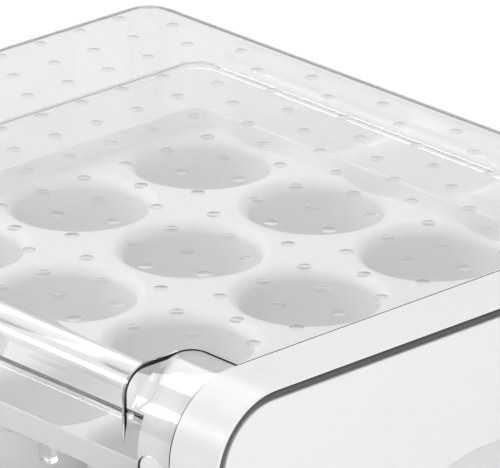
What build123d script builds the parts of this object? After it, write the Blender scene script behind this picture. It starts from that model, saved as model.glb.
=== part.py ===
from build123d import *
from math import cos, radians
import os

# Egg storage drawer: a clear case lies on four pads and carries a white front frame.
# A clear drawer with a white egg tray and a white front slides out of it towards -Y.
# Millimetres. X runs left to right seen from the front, Y from front to back, Z up.
# The origin is the middle of the footprint, on the surface that the pads stand on.

# Driving sizes of the case
case_width = 214.0
case_length = 262.0
total_height = 76.0
pad_height = 2.0
case_wall = 1.8
case_edge_radius = 8.5
back_corner_radius = 14.5

# Front frame and the rounded collar behind it
front_corner_radius = 23.0
frame_depth = 19.0
frame_lip = 1.2
frame_front_round = 0.5
frame_land_inset = 2.7
frame_land_length = 8.0
collar_length = 18.5
scoop_step = 0.5
scoop_reach = 26.0
scoop_corner = 5.0
tongue_length = 14.0
tongue_clearance = 0.1
tongue_top_gap = 3.4
tongue_corner = 2.5

# Side windows of the collar and the frame's tabs that click into them
window_length = 11.0
window_height = 28.0
window_setback = 2.0
window_corner = 4.0
tab_clearance = 0.25
tab_recess = 0.3

# Lens dots moulded into the underside of the top
dot_diameter = 4.6
dot_depth = 0.25
dot_pitch_x = 16.6
dot_pitch_y = 15.9
dot_margin = 3.0
dot_back_gap = 11.0

# Runners, stops and pads under the drawer
runner_width = 8.0
runner_height = 1.9
runner_round = 0.6
runner_offset = 60.0
runner_end_gap = 20.0
slide_clearance = 0.3
drawer_travel = 170.0
stop_height = 1.6
stop_width = 16.0
stop_length = 6.0
stop_offset = 28.0
stop_setback = 2.0
stop_gap = 0.3
pad_diameter = 14.0
pad_edge_inset = 21.0
pad_front_setback = 38.5
pad_round = 0.5

# Drawer tub
rim_below_top = 14.8
rim_side_gap = 4.6
rim_width = 2.2
rim_height = 2.2
rim_round = 1.0
tub_wall = 1.4
tub_floor = 1.8
tub_bottom_radius = 17.0
tub_back_radius = 9.0
tub_back_gap = 28.0
tub_front_wall = 1.6
tub_front_setback = 2.0

# Front panel and its seal
seal_width = 2.2
seal_clearance = 0.4
seal_setback = 0.6
seal_land_gap = 0.3
panel_setback = 0.6
panel_skin = 2.2
panel_edge_wall = 2.4
panel_edge_round = 0.8
recess_width = 70.0
recess_height = 22.0
recess_depth = 12.5
recess_bottom_gap = 6.0
recess_corner = 9.0
recess_edge_round = 1.0
recess_wall = 2.0

# Egg tray
egg_pitch = 51.4
rear_row_gap = 27.0
tray_below_top = 35.4
tray_plate = 1.3
tray_clearance = 0.3
tray_border = 1.0
tray_border_height = 5.8
cup_radius = 21.0
cup_ring_radius = 18.8
cup_flare = 4.2
cup_straight = 6.0
cup_depth = 18.5
ledge_length = 5.0
ledge_height = 5.0
ledge_width = 2.4

# Levels and faces that follow from the driving sizes
case_height = total_height - pad_height
case_middle_z = pad_height + case_height / 2
top_underside = total_height - case_wall
case_floor_top = pad_height + case_wall
front_y = -case_length / 2
back_y = case_length / 2
frame_rear_y = front_y + frame_depth
collar_rear_y = frame_rear_y + collar_length
land_front_y = frame_rear_y - frame_land_length

tub_bottom_z = case_floor_top + runner_height + slide_clearance
tub_floor_top = tub_bottom_z + tub_floor
rim_top_z = total_height - rim_below_top
rim_outer_x = case_width / 2 - rim_side_gap
tub_inner_x = rim_outer_x - rim_width
tub_outer_x = tub_inner_x + tub_wall
tub_outer_back_y = back_y - tub_back_gap
tub_inner_back_y = tub_outer_back_y - tub_wall
rim_outward = rim_width - tub_wall

panel_inset = frame_lip + seal_width
panel_face_y = front_y + panel_setback
tub_front_outer_y = frame_rear_y - tub_front_setback
tub_inner_front_y = tub_front_outer_y + tub_front_wall
recess_bottom_z = pad_height + panel_inset + recess_bottom_gap

tray_top_z = total_height - tray_below_top
tray_underside_z = tray_top_z - tray_plate
tray_side_x = tub_inner_x - tray_clearance
tray_back_y = tub_inner_back_y - tray_clearance
tray_front_y = tub_inner_front_y + tray_clearance
rear_row_y = tub_inner_back_y - rear_row_gap
egg_columns = int(2 * (tray_side_x - cup_radius) / egg_pitch) + 1
egg_rows = int((rear_row_y - cup_radius - tray_front_y) / egg_pitch) + 1
column_x = [(i - (egg_columns - 1) / 2) * egg_pitch for i in range(egg_columns)]
row_y = [rear_row_y - j * egg_pitch for j in range(egg_rows)]


def inset_prism(inset, start_y, end_y, corner=front_corner_radius):
    """Rounded rectangular prism along Y, drawn in by inset from the case's outer section."""
    outline = Plane.XZ * RectangleRounded(case_width - 2 * inset, case_height - 2 * inset, corner - inset)
    return Pos(0, end_y, case_middle_z) * extrude(outline, amount=end_y - start_y)


def block(x_span, y_span, z_span):
    """Box between two values on each axis."""
    size = [span[1] - span[0] for span in (x_span, y_span, z_span)]
    middle = [(span[1] + span[0]) / 2 for span in (x_span, y_span, z_span)]
    return Pos(*middle) * Box(*size)


def case_hull(inset, start_y):
    """Main body of the case as a filled form, drawn in by inset: rounded rear corners and long edges."""
    end_y = back_y - inset
    plan = Pos(0, (start_y + end_y) / 2) * Rectangle(case_width - 2 * inset, end_y - start_y)
    plan = fillet(plan.vertices().sort_by(Axis.Y)[-2:], back_corner_radius - inset)
    hull = Pos(0, 0, pad_height + inset) * extrude(plan, amount=case_height - 2 * inset)
    faces = hull.faces().sort_by(Axis.Z)
    rims = [edge for face in (faces[0], faces[-1]) for edge in face.edges().sort_by(Axis.Y)[1:]]
    return fillet(rims, case_edge_radius - inset)


def dot_lenses():
    """Shallow lens-shaped hollows in rows, each second row moved by half a step."""
    ball_radius = ((dot_diameter / 2) ** 2 + dot_depth**2) / (2 * dot_depth)
    side_limit = case_width / 2 - case_edge_radius - dot_margin
    collar_limit = case_width / 2 - front_corner_radius - dot_margin
    front_limit = frame_rear_y + dot_margin
    back_limit = back_y - dot_back_gap
    row_count = int((back_limit - front_limit) / dot_pitch_y) + 1
    column_count = int(2 * side_limit / dot_pitch_x) + 2
    ball = Sphere(ball_radius)
    lenses = []
    for row in range(row_count):
        y = back_limit - row * dot_pitch_y
        limit = side_limit if y > collar_rear_y + dot_pitch_y / 2 else collar_limit
        shift = dot_pitch_x / 2 * (row % 2)
        for column in range(-column_count, column_count):
            x = column * dot_pitch_x + shift
            if abs(x) <= limit:
                lenses.append(Pos(x, y, top_underside + dot_depth - ball_radius) * ball)
    return lenses


def side_plate(x_span, start_y, end_y, height, front_corner, rear_corner):
    """Upright plate at a side wall: a rectangle in Y and Z, thick along X, with rounded corners.

    A front corner of 0 stays sharp.
    """
    length = end_y - start_y
    outline = Pos((start_y + end_y) / 2, case_middle_z) * Rectangle(length, height)
    corners = outline.vertices().sort_by(Axis.X)
    if front_corner:
        outline = fillet(corners[:2], front_corner)
        corners = outline.vertices().sort_by(Axis.X)
    outline = fillet(corners[-2:], rear_corner)
    thickness = x_span[1] - x_span[0]
    return Pos(x_span[0], 0, 0) * extrude(Plane.YZ * outline, amount=thickness)


def window(side, grow, inner_inset, outer_inset):
    """Rounded window at a side wall of the collar, between two depths below the outer wall."""
    x_span = sorted((side * (case_width / 2 - inner_inset), side * (case_width / 2 - outer_inset)))
    start_y = frame_rear_y + window_setback - grow
    end_y = start_y + window_length + 2 * grow
    corner = window_corner + grow
    return side_plate(x_span, start_y, end_y, window_height + 2 * grow, corner, corner)


def collar_prism():
    """Rounded outer form of the collar: a step below the top of the case and flush with its sides."""
    size = (case_width, case_height - 2 * scoop_step)
    outline = Plane.XZ * RectangleRounded(*size, front_corner_radius - scoop_step)
    return Pos(0, collar_rear_y, case_middle_z) * extrude(outline, amount=collar_length)


def scoop_cutters():
    """What is taken off each front corner behind the frame, down to the rounded collar."""
    collar = collar_prism()
    cutters = []
    for x_side in (-1, 1):
        for z_side in (-1, 1):
            x = x_side * (case_width / 2 - scoop_reach / 2)
            z = case_middle_z + z_side * (case_height / 2 - scoop_reach / 2)
            zone = Pos(x, frame_rear_y + collar_length / 2, z) * Box(scoop_reach, collar_length, scoop_reach)
            corner = zone.edges().filter_by(Axis.Z).sort_by_distance((0, collar_rear_y, z))[0]
            cutters.append(fillet(corner, scoop_corner) - collar)
    return cutters


def case_shell():
    """Clear sleeve with a closed back; its front corners step in to a rounded collar."""
    shell = case_hull(0, frame_rear_y)
    shell -= scoop_cutters()
    shell -= case_hull(case_wall, collar_rear_y + case_wall)
    shell -= inset_prism(case_wall, frame_rear_y, collar_rear_y + case_wall)
    past_wall = 2 * case_wall
    shell -= [window(side, 0, past_wall, 0) for side in (-1, 1)]
    return shell - dot_lenses()


def front_frame():
    """White bezel with a thin lip, a land that the seal closes on, and a tongue in each side."""
    ring = inset_prism(0, front_y, frame_rear_y)
    ring = fillet(ring.faces().sort_by(Axis.Y)[0].edges(), frame_front_round)
    ring -= inset_prism(frame_lip, front_y, land_front_y)
    ring -= inset_prism(frame_land_inset, land_front_y, frame_rear_y)
    tongue_end = frame_rear_y + tongue_length
    sleeve = inset_prism(case_wall + tongue_clearance, frame_rear_y, tongue_end)
    sleeve -= inset_prism(frame_land_inset, frame_rear_y, tongue_end)
    tongue_height = case_height - 2 * tongue_top_gap
    for side in (-1, 1):
        x_span = sorted((side * case_width / 2, side * (case_width / 2 - front_corner_radius)))
        ring += sleeve & side_plate(x_span, frame_rear_y, tongue_end, tongue_height, 0, tongue_corner)
        ring += window(side, -tab_clearance, frame_land_inset, tab_recess)
    return ring


def runner(side):
    """Low rail on the case floor that the drawer slides on."""
    x = side * runner_offset
    half = runner_width / 2
    top = case_floor_top + runner_height
    span_y = (frame_rear_y, back_y - runner_end_gap)
    rail = block((x - half, x + half), span_y, (case_floor_top, top))
    return fillet(rail.faces().sort_by(Axis.Z)[-1].edges().filter_by(Axis.Y), runner_round)


def stop_block(side):
    """Low stop on the case floor that meets the drawer's stop lug at full travel."""
    x = side * stop_offset
    half = stop_width / 2
    start = frame_rear_y + stop_setback
    return block((x - half, x + half), (start, start + stop_length), (case_floor_top, case_floor_top + stop_height))


def stop_lug(side):
    """Lug under the tub floor, a travel behind the stop block."""
    x = side * stop_offset
    half = stop_width / 2
    start = frame_rear_y + stop_setback + stop_length + drawer_travel + stop_gap
    return block((x - half, x + half), (start, start + stop_length), (tub_bottom_z - stop_height, tub_bottom_z))


def pad(x_side, y):
    """Round silicone pad under a corner of the case."""
    x = x_side * (case_width / 2 - pad_edge_inset)
    disc = Pos(x, y, pad_height / 2) * Cylinder(pad_diameter / 2, pad_height)
    return fillet(disc.edges().sort_by(Axis.Z)[0], pad_round)


def tub_form(inset, floor_z, start_y):
    """Filled form of the tub, drawn in by inset: rounded below at the sides and at the back."""
    half = tub_outer_x - inset
    radius = tub_bottom_radius - inset
    depth = rim_top_z - floor_z
    section = Rectangle(2 * half, depth)
    section = fillet(section.vertices().sort_by(Axis.Y)[:2], radius)
    end_y = tub_outer_back_y - inset
    form = Pos(0, end_y, floor_z + depth / 2) * extrude(Plane.XZ * section, amount=end_y - start_y)
    rear = form.faces().sort_by(Axis.Y)[-1]
    lower_edges = rear.edges().sort_by(Axis.Z)[:-1]
    return fillet(lower_edges, tub_back_radius - inset)


def rim_band(outward):
    """Filled plan of the rim, outward from the tub wall, open towards the front."""
    half = tub_outer_x + outward
    end_y = tub_outer_back_y + outward
    plan = Pos(0, (tub_front_outer_y + end_y) / 2) * Rectangle(2 * half, end_y - tub_front_outer_y)
    plan = fillet(plan.vertices().sort_by(Axis.Y)[-2:], tub_back_radius + outward)
    return Pos(0, 0, rim_top_z - rim_height) * extrude(plan, amount=rim_height)


def tray_ledges():
    """Small lugs inside the tub that the tray's edge rests on, between the egg cups."""
    lugs = []
    lug_z = (tray_underside_z - ledge_height, tray_underside_z)
    half = ledge_length / 2
    gap_y = [(row_y[j] + row_y[j + 1]) / 2 for j in range(egg_rows - 1)]
    gap_x = [(column_x[i] + column_x[i + 1]) / 2 for i in range(egg_columns - 1)]
    for y in gap_y:
        for side in (-1, 1):
            x_span = sorted((side * (tub_inner_x - ledge_width), side * tub_inner_x))
            lugs.append(block(x_span, (y - half, y + half), lug_z))
    for x in gap_x:
        lugs.append(block((x - half, x + half), (tub_inner_back_y - ledge_width, tub_inner_back_y), lug_z))
        lugs.append(block((x - half, x + half), (tub_inner_front_y, tub_inner_front_y + ledge_width), lug_z))
    return lugs


def drawer_tub():
    """Clear drawer body: rounded tub, turned-out rim, tall front wall, ledges and stop lugs."""
    tub = tub_form(0, tub_bottom_z, tub_front_outer_y)
    rim = rim_band(rim_outward)
    upper_rim_edges = rim.faces().sort_by(Axis.Z)[-1].edges().sort_by(Axis.Y)[1:]
    tub += fillet(upper_rim_edges, rim_round)
    tub -= tub_form(tub_wall, tub_floor_top, tub_inner_front_y)
    tub += inset_prism(panel_inset, tub_front_outer_y, tub_inner_front_y)
    for lug in tray_ledges() + [stop_lug(-1), stop_lug(1)]:
        tub += lug
    return tub


def recess_outline(grow):
    """Finger recess seen from the front: flat below and arched above, grown by a wall."""
    half = recess_width / 2 + grow
    low = recess_bottom_z - grow
    shoulder = low + recess_height / 2 + grow
    crown = recess_bottom_z + recess_height + grow
    corner = recess_corner + grow
    edge = Polyline((-half, shoulder), (-half, low), (half, low), (half, shoulder))
    arch = ThreePointArc((-half, shoulder), (0, crown), (half, shoulder))
    face = make_face(edge + arch)
    return fillet(face.vertices().sort_by(Axis.Y)[:2], corner)


def recess_form(grow, start_y, end_y):
    """Recess outline as a filled form between two depths."""
    return Pos(0, end_y, 0) * extrude(Plane.XZ * recess_outline(grow), amount=end_y - start_y)


def front_panel():
    """White drawer front: a hollow cap with a finger recess moulded into it."""
    cap = inset_prism(panel_inset, panel_face_y, tub_front_outer_y)
    cap = fillet(cap.faces().sort_by(Axis.Y)[0].edges(), panel_edge_round)
    cap -= inset_prism(panel_inset + panel_edge_wall, panel_face_y + panel_skin, tub_front_outer_y)
    floor_y = panel_face_y + recess_depth
    skin_middle_y = panel_face_y + panel_skin / 2
    cap += recess_form(recess_wall, skin_middle_y, floor_y + recess_wall)
    cap -= recess_form(0, panel_face_y - panel_skin, floor_y)
    front_faces = cap.faces().filter_by(Axis.Y).sort_by(Axis.Y)
    mouth = front_faces[0].inner_wires()[0]
    return fillet(mouth.edges(), recess_edge_round)


def panel_seal():
    """Dark soft ring round the panel that closes on the land of the frame."""
    seal_front = front_y + seal_setback
    seal_rear = land_front_y - seal_land_gap
    ring = inset_prism(frame_lip + seal_clearance, seal_front, seal_rear)
    return ring - inset_prism(panel_inset, seal_front, seal_rear)


def cup_profile():
    """Half section of an egg cup in radius and height: rolled mouth, straight wall, narrowed foot."""
    straight_end = cup_depth - cup_straight
    narrowing = cup_radius - cup_ring_radius
    bowl_radius = (straight_end**2 + narrowing**2) / (2 * narrowing)
    bowl_centre = cup_radius - bowl_radius
    half_drop = straight_end / 2
    bowl_half = bowl_centre + (bowl_radius**2 - half_drop**2) ** 0.5
    outer_bowl_half = bowl_centre + ((bowl_radius + tray_plate) ** 2 - half_drop**2) ** 0.5
    outer_foot = bowl_centre + ((bowl_radius + tray_plate) ** 2 - straight_end**2) ** 0.5
    outer_radius = cup_radius + tray_plate
    mouth = cup_radius + cup_flare
    half_turn = cos(radians(45))
    rolls = []
    for bend, height in ((cup_flare, 0), (cup_flare - tray_plate, -tray_plate)):
        middle = (mouth - bend * half_turn, -cup_flare + bend * half_turn)
        rolls.append(ThreePointArc((mouth, height), middle, (mouth - bend, -cup_flare)))
    lip = Line((mouth, 0), (mouth, -tray_plate))
    walls = [Line((radius, -cup_flare), (radius, -cup_straight)) for radius in (cup_radius, outer_radius)]
    bowl = ThreePointArc(
        (cup_radius, -cup_straight), (bowl_half, -cup_straight - half_drop), (cup_ring_radius, -cup_depth)
    )
    foot = Line((cup_ring_radius, -cup_depth), (outer_foot, -cup_depth))
    back_bowl = ThreePointArc(
        (outer_foot, -cup_depth), (outer_bowl_half, -cup_straight - half_drop), (outer_radius, -cup_straight)
    )
    return make_face(lip + rolls + walls + [bowl, foot, back_bowl])


def tray_plan(inset, low_z, high_z):
    """Plan of the tray as a filled form between two heights, drawn in by inset."""
    width = 2 * (tray_side_x - inset)
    length = tray_back_y - tray_front_y - 2 * inset
    plan = RectangleRounded(width, length, tub_back_radius - tub_wall - inset)
    return Pos(0, (tray_back_y + tray_front_y) / 2, low_z) * extrude(plan, amount=high_z - low_z)


def egg_tray():
    """White plate with a grid of open-bottomed egg cups and a low border that stands up all round."""
    plate = tray_plan(0, tray_underside_z, tray_top_z)
    cup = revolve(Plane.XZ * cup_profile(), Axis.Z)
    mouth = Cylinder(cup_radius + cup_flare, 4 * tray_plate)
    places = [Pos(x, y, tray_top_z) for x in column_x for y in row_y]
    plate -= [place * mouth for place in places]
    plate += [place * cup for place in places]
    border_top = tray_top_z + tray_border_height
    border = tray_plan(0, tray_underside_z, border_top) - tray_plan(tray_border, tray_underside_z, border_top)
    return (plate & tray_plan(0, 0, total_height)) + border


def main():
    """Write every sub-part as its own file."""
    rear_pad_y = back_y - pad_edge_inset
    front_pad_y = frame_rear_y + pad_front_setback
    parts = {
        "case_shell": case_shell(),
        "front_frame": front_frame(),
        "runner_left": runner(-1),
        "runner_right": runner(1),
        "stop_block_left": stop_block(-1),
        "stop_block_right": stop_block(1),
        "pad_front_left": pad(-1, front_pad_y),
        "pad_front_right": pad(1, front_pad_y),
        "pad_rear_left": pad(-1, rear_pad_y),
        "pad_rear_right": pad(1, rear_pad_y),
        "drawer_tub": drawer_tub(),
        "egg_tray": egg_tray(),
        "front_panel": front_panel(),
        "panel_seal": panel_seal(),
    }
    os.makedirs("parts", exist_ok=True)
    for name, solid in parts.items():
        export_step(solid, f"parts/{name}.step")


main()
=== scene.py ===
# %% [markdown]
# An egg drawer for the fridge is made of thin moulded plastic: a clear sleeve, a clear drawer that slides
# in it, and white pieces at the front and under the eggs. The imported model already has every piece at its
# real size. This lesson keeps that model as a fixed frame and lays finished surfaces over it.

# %% Load the frame
import math

import bmesh
import bpy
import numpy as np
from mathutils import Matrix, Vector


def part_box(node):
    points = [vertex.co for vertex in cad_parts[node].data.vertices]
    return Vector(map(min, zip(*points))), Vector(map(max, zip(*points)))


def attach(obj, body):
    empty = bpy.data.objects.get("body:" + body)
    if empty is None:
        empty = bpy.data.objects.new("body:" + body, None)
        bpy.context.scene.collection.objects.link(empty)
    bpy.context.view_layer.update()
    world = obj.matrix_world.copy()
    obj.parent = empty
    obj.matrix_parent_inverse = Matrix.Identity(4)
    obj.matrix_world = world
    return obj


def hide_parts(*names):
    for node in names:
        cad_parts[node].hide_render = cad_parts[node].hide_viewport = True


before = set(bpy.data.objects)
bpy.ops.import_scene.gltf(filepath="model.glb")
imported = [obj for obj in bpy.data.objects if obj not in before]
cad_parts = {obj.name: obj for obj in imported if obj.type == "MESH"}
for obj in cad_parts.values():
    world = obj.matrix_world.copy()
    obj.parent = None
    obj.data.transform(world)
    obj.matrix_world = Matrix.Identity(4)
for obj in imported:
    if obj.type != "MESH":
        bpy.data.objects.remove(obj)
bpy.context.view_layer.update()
print("nodes:", len(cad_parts))

# %% [markdown]
# Plastic parts are drawn in millimetres, and Blender's frame is in metres. Shapes below are worked out in
# millimetres and scaled once, where their points go into a mesh. What a size can be read from the frame
# for is read there: the outer size of the case gives most of the others.

# %% Sizes that come from the frame
MM = 0.001


def box_of(node):
    """Lowest and highest corner of a node in millimetres."""
    low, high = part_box(node)
    return np.array(low) / MM, np.array(high) / MM


case_low, case_high = box_of("case_shell")
tub_low, tub_high = box_of("drawer_tub")
tray_low, tray_high = box_of("egg_tray")
panel_low, panel_high = box_of("front_panel")
seal_low, seal_high = box_of("panel_seal")
half_width = case_high[0]
half_height = (case_high[2] - case_low[2]) / 2
middle_z = (case_high[2] + case_low[2]) / 2
case_front_y = case_low[1]
case_back_y = case_high[1]
print("case, half width, half height, middle:", half_width, half_height, middle_z)

# %% [markdown]
# A mesh is a list of points and a list of faces. Every piece here is made of point grids, arrays of rows
# and columns, so one helper is enough: each cell of a grid becomes a four-sided face, and a flat end can
# be one face with many sides. Where grids meet, their points fall together and are merged. A weighted
# normal then keeps big flat faces flat beside small roundings, and only real corners stay sharp.

# %% From point grids to a finished piece
MERGE_DISTANCE = 0.0002 * MM
SHARP_ANGLE = math.radians(38)


def make_mesh(name, grids, caps=()):
    """Mesh from point grids (rows, columns, xyz) and flat caps (points, xyz), all in millimetres."""
    points, faces, start = [], [], 0
    for grid in grids:
        rows, columns = grid.shape[:2]
        index = start + np.arange(rows * columns).reshape(rows, columns)
        cells = np.stack([index[:-1, :-1], index[:-1, 1:], index[1:, 1:], index[1:, :-1]], axis=-1)
        faces.extend(cells.reshape(-1, 4).tolist())
        points.append(grid.reshape(-1, 3))
        start += rows * columns
    for cap in caps:
        faces.append(list(range(start, start + len(cap))))
        points.append(np.asarray(cap))
        start += len(cap)
    mesh = bpy.data.meshes.new(name)
    mesh.from_pydata(np.concatenate(points) * MM, [], faces)
    shape = bmesh.new()
    shape.from_mesh(mesh)
    bmesh.ops.remove_doubles(shape, verts=shape.verts, dist=MERGE_DISTANCE)
    wires = [edge for edge in shape.edges if edge.is_wire]
    bmesh.ops.delete(shape, geom=wires, context="EDGES")
    bmesh.ops.recalc_face_normals(shape, faces=shape.faces)
    shape.to_mesh(mesh)
    shape.free()
    return mesh


def capped_stack(name, rows):
    """Mesh of a stack of closed outlines, with a flat face on the first and on the last."""
    return make_mesh(name, [np.stack(rows)], [rows[0][:-1], rows[-1][:-1]])


def add_object(mesh):
    """Object at the origin that shows the mesh."""
    made = bpy.data.objects.new(mesh.name, mesh)
    bpy.context.scene.collection.objects.link(made)
    return made


def on_circle(turn):
    """Directions (cosine, sine) of angles in radians."""
    return np.stack([np.cos(turn), np.sin(turn)], axis=1)


def with_level(values, level):
    """Numbers, or rows of them, with one more column that holds the same level throughout."""
    return np.column_stack([values, np.full(len(values), level)])


def report(piece):
    """Prints a piece's faces and how many edges don't lie between exactly two: none on a closed piece."""
    mesh = piece.data
    ends = np.zeros(len(mesh.loops), np.int32)
    mesh.loops.foreach_get("edge_index", ends)
    open_edges = int((np.bincount(ends, minlength=len(mesh.edges)) != 2).sum())
    print(piece.name, "faces:", len(mesh.polygons), "open edges:", open_edges)


def combine(base, mesh, operation):
    """Joins a mesh to base, cuts it off or keeps what they share, and bakes the result into base."""
    other = add_object(mesh)
    modifier = base.modifiers.new("combine", "BOOLEAN")
    modifier.operation = operation
    modifier.solver = "EXACT"
    modifier.object = other
    bpy.context.view_layer.update()
    evaluated = base.evaluated_get(bpy.context.evaluated_depsgraph_get())
    result = bpy.data.meshes.new_from_object(evaluated)
    base.modifiers.remove(modifier)
    old = base.data
    base.data = result
    result.name = base.name
    bpy.data.meshes.remove(old)
    bpy.data.objects.remove(other)


def finish_piece(piece, material, body, slot, *nodes):
    """Shades a piece, gives it its material, and lets it stand for its CAD nodes on their body."""
    piece.data.shade_smooth()
    piece.data.set_sharp_from_angle(angle=SHARP_ANGLE)
    weighted = piece.modifiers.new("flat faces stay flat", "WEIGHTED_NORMAL")
    weighted.mode = "FACE_AREA"
    weighted.keep_sharp = True
    piece.data.materials.clear()
    piece.data.materials.append(material)
    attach(piece, body)
    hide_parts(*nodes)
    report(piece)


# %% [markdown]
# Most of the case is one outline drawn along the depth: a rounded rectangle. Near the front the outline
# changes. There the corners are scooped out to the large radius of the white frame, half a millimetre
# below the top and flush with the sides. To join the two outlines, both have the same number of points in
# the same order, so a point on one has its partner on the other.

# %% Outlines of the case
frame_corner_radius = 23.0
case_edge_radius = 8.5
back_corner_radius = 14.5
scoop_step = 0.5
step_draft = 0.2
scoop_reach = 26.0
scoop_corner = 5.0
corner_centre = np.array([half_width - frame_corner_radius, half_height - frame_corner_radius])
step_place = np.array([half_width - scoop_reach, half_height - scoop_reach])
edge_arc_steps = 10
side_steps = 6
near = 1e-6
digits = 6

dot_pitch_x = 16.6
flat_reach = half_width - case_edge_radius
lines_per_half_pitch = 3
dot_line = dot_pitch_x / 2 / lines_per_half_pitch
regular_reach = math.floor(flat_reach / (dot_pitch_x / 2)) * dot_pitch_x / 2
regular_lines = np.arange(round(regular_reach / dot_line) + 1) * dot_line
end_lines = np.linspace(half_width - back_corner_radius, flat_reach, lines_per_half_pitch + 1)
scoop_line_places = np.array([0.0, 0.1, 0.24])
scoop_lines = step_place[0] + scoop_corner * scoop_line_places
half_lines = np.unique(np.round(np.concatenate(
    [regular_lines, end_lines, scoop_lines, [corner_centre[0]]]), digits))
x_lines = np.concatenate([-half_lines[:0:-1], half_lines])
corner_lines = half_lines[half_lines >= corner_centre[0] - near]


def corner_path(inset, collar, step):
    """Points (x, z) of the upper right corner, from the flat top to the flat side.

    On the collar the path is a step inwards and one large arc. On the body it is flat, a small arc, flat.
    """
    top, side = half_height - inset, half_width - inset
    arc_steps = len(corner_lines) - 1 + edge_arc_steps + side_steps
    if collar:
        turn = np.linspace(math.pi / 2, 0, arc_steps + 1)
        radius = frame_corner_radius - inset - step
        path = corner_centre + [step, 0] + radius * on_circle(turn)
    else:
        radius = case_edge_radius - inset
        centre = np.array([side - radius, top - radius])
        flat_x = np.interp(corner_lines, [corner_lines[0], corner_lines[-1]], [corner_lines[0], centre[0]])
        along = with_level(flat_x, top)
        turn = np.linspace(math.pi / 2, 0, edge_arc_steps + 1)
        arc = centre + radius * on_circle(turn)
        down = with_level(np.linspace(centre[1], corner_centre[1], side_steps + 1), side)[:, ::-1]
        path = np.concatenate([along, arc[1:], down[1:]])
    stepped = half_lines[(half_lines > step_place[0] - near) & (half_lines < corner_centre[0] - near)]
    first_x = step_place[0] + step * step_draft
    before = [[step_place[0], top]] + [[max(x, first_x), top - step] for x in stepped]
    return np.concatenate([before, path, [[side, step_place[1]]]])


def case_outline(inset, collar=False, step=0.0):
    """Closed outline (x, z about the middle), clockwise seen from the front, inset from the outer wall."""
    corner = corner_path(inset, collar, step)
    flat = x_lines[np.abs(x_lines) < step_place[0] - near]
    top = with_level(flat, half_height - inset)
    side = np.array([[half_width - inset, 0.0]])
    upper_right = np.concatenate([top[flat >= 0], corner, side])
    mirror_z = np.array([1.0, -1.0])
    right = np.concatenate([upper_right, (upper_right * mirror_z)[-2::-1]])
    left = (right * [-1.0, 1.0])[-2:0:-1]
    outline = np.concatenate([right, left])
    return np.concatenate([outline, outline[:1]])


def at_depth(outline, y):
    """Outline placed at depth y, one for all or one for each point, as points (x, y, z)."""
    return np.stack([outline[:, 0], np.broadcast_to(y, len(outline)), outline[:, 1] + middle_z], axis=1)


print("points round the case:", len(case_outline(0)), "lines across the top:", len(x_lines))

# %% [markdown]
# The sleeve is one closed wall: outside, round the open front, and back along the inside. The rear edge
# is rounded by drawing the outline in while the depth grows, which is a quarter circle in the two. Its
# upright corners have a larger radius: there the plan is turned from a square into a circle, point by
# point, without a change of height.
#
# The inside of the top carries rows of shallow hollows, the small grey dots of the real lid. A hollow is
# a few rings of points in a rectangular cell, so the rows tile without gaps. The mesh remembers which
# points lie in a dot, and the plastic reads that to be a little greyer there.

# %% Clear case
wall = 1.8
collar_length = 18.5
collar_rear_y = case_front_y + collar_length
inner_step_y = collar_rear_y + wall
inner_back_y = case_back_y - wall
ceiling_z = middle_z + half_height - wall
flat_back_y = case_back_y - case_edge_radius
corner_turn_y = case_back_y - back_corner_radius
rear_round_steps = 10
case_front_round = 0.15

dot_pitch_y = 15.9
dot_radius = 2.3
dot_depth = 0.055
dot_margin = 3.0
dot_back_gap = 11.0
dot_row_steps = 6
dot_rings = 5
most_dots = 8
turn_lines = 3
rough_digits = 3
merge_digits = 5


def rear_rounding(radius, inset, end_y):
    """(inset, depth) pairs of a quarter circle from the straight wall to the flat end."""
    turn = np.linspace(0, math.pi / 2, rear_round_steps + 1)
    return list(zip(inset + radius * (1 - np.cos(turn)), end_y - radius * (1 - np.sin(turn))))


def cell_patch(lines_x, lines_y, centre, rings):
    """One cell as rows of points: its four straight sides, then circles round centre.

    rings is rows of (radius, height); the first gives the height of the straight sides, and its radius
    isn't used. Each point keeps its direction from the centre, so the rows never cross.
    """
    low = with_level(lines_x[:-1], lines_y[0])
    right = with_level(lines_y[:-1], lines_x[-1])[:, ::-1]
    high = with_level(lines_x[:0:-1], lines_y[-1])
    left = with_level(lines_y[:0:-1], lines_x[0])[:, ::-1]
    sides = np.concatenate([low, right, high, left, low[:1]])
    away = sides - centre
    turn = np.arctan2(away[:, 1], away[:, 0])
    circles = [with_level(centre + radius * on_circle(turn), height) for radius, height in rings[1:]]
    return np.stack([with_level(sides, rings[0][1])] + circles)


def flat_patch(lines_x, lines_y, z):
    """Flat grid over crossing lines."""
    x, y = np.meshgrid(lines_x, lines_y)
    return np.stack([x, y, np.full(x.shape, z)], axis=-1)


def lines_between(lines, low, high):
    """The lines from low to high, both ends kept."""
    return lines[(lines >= low - near) & (lines <= high + near)]


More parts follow.
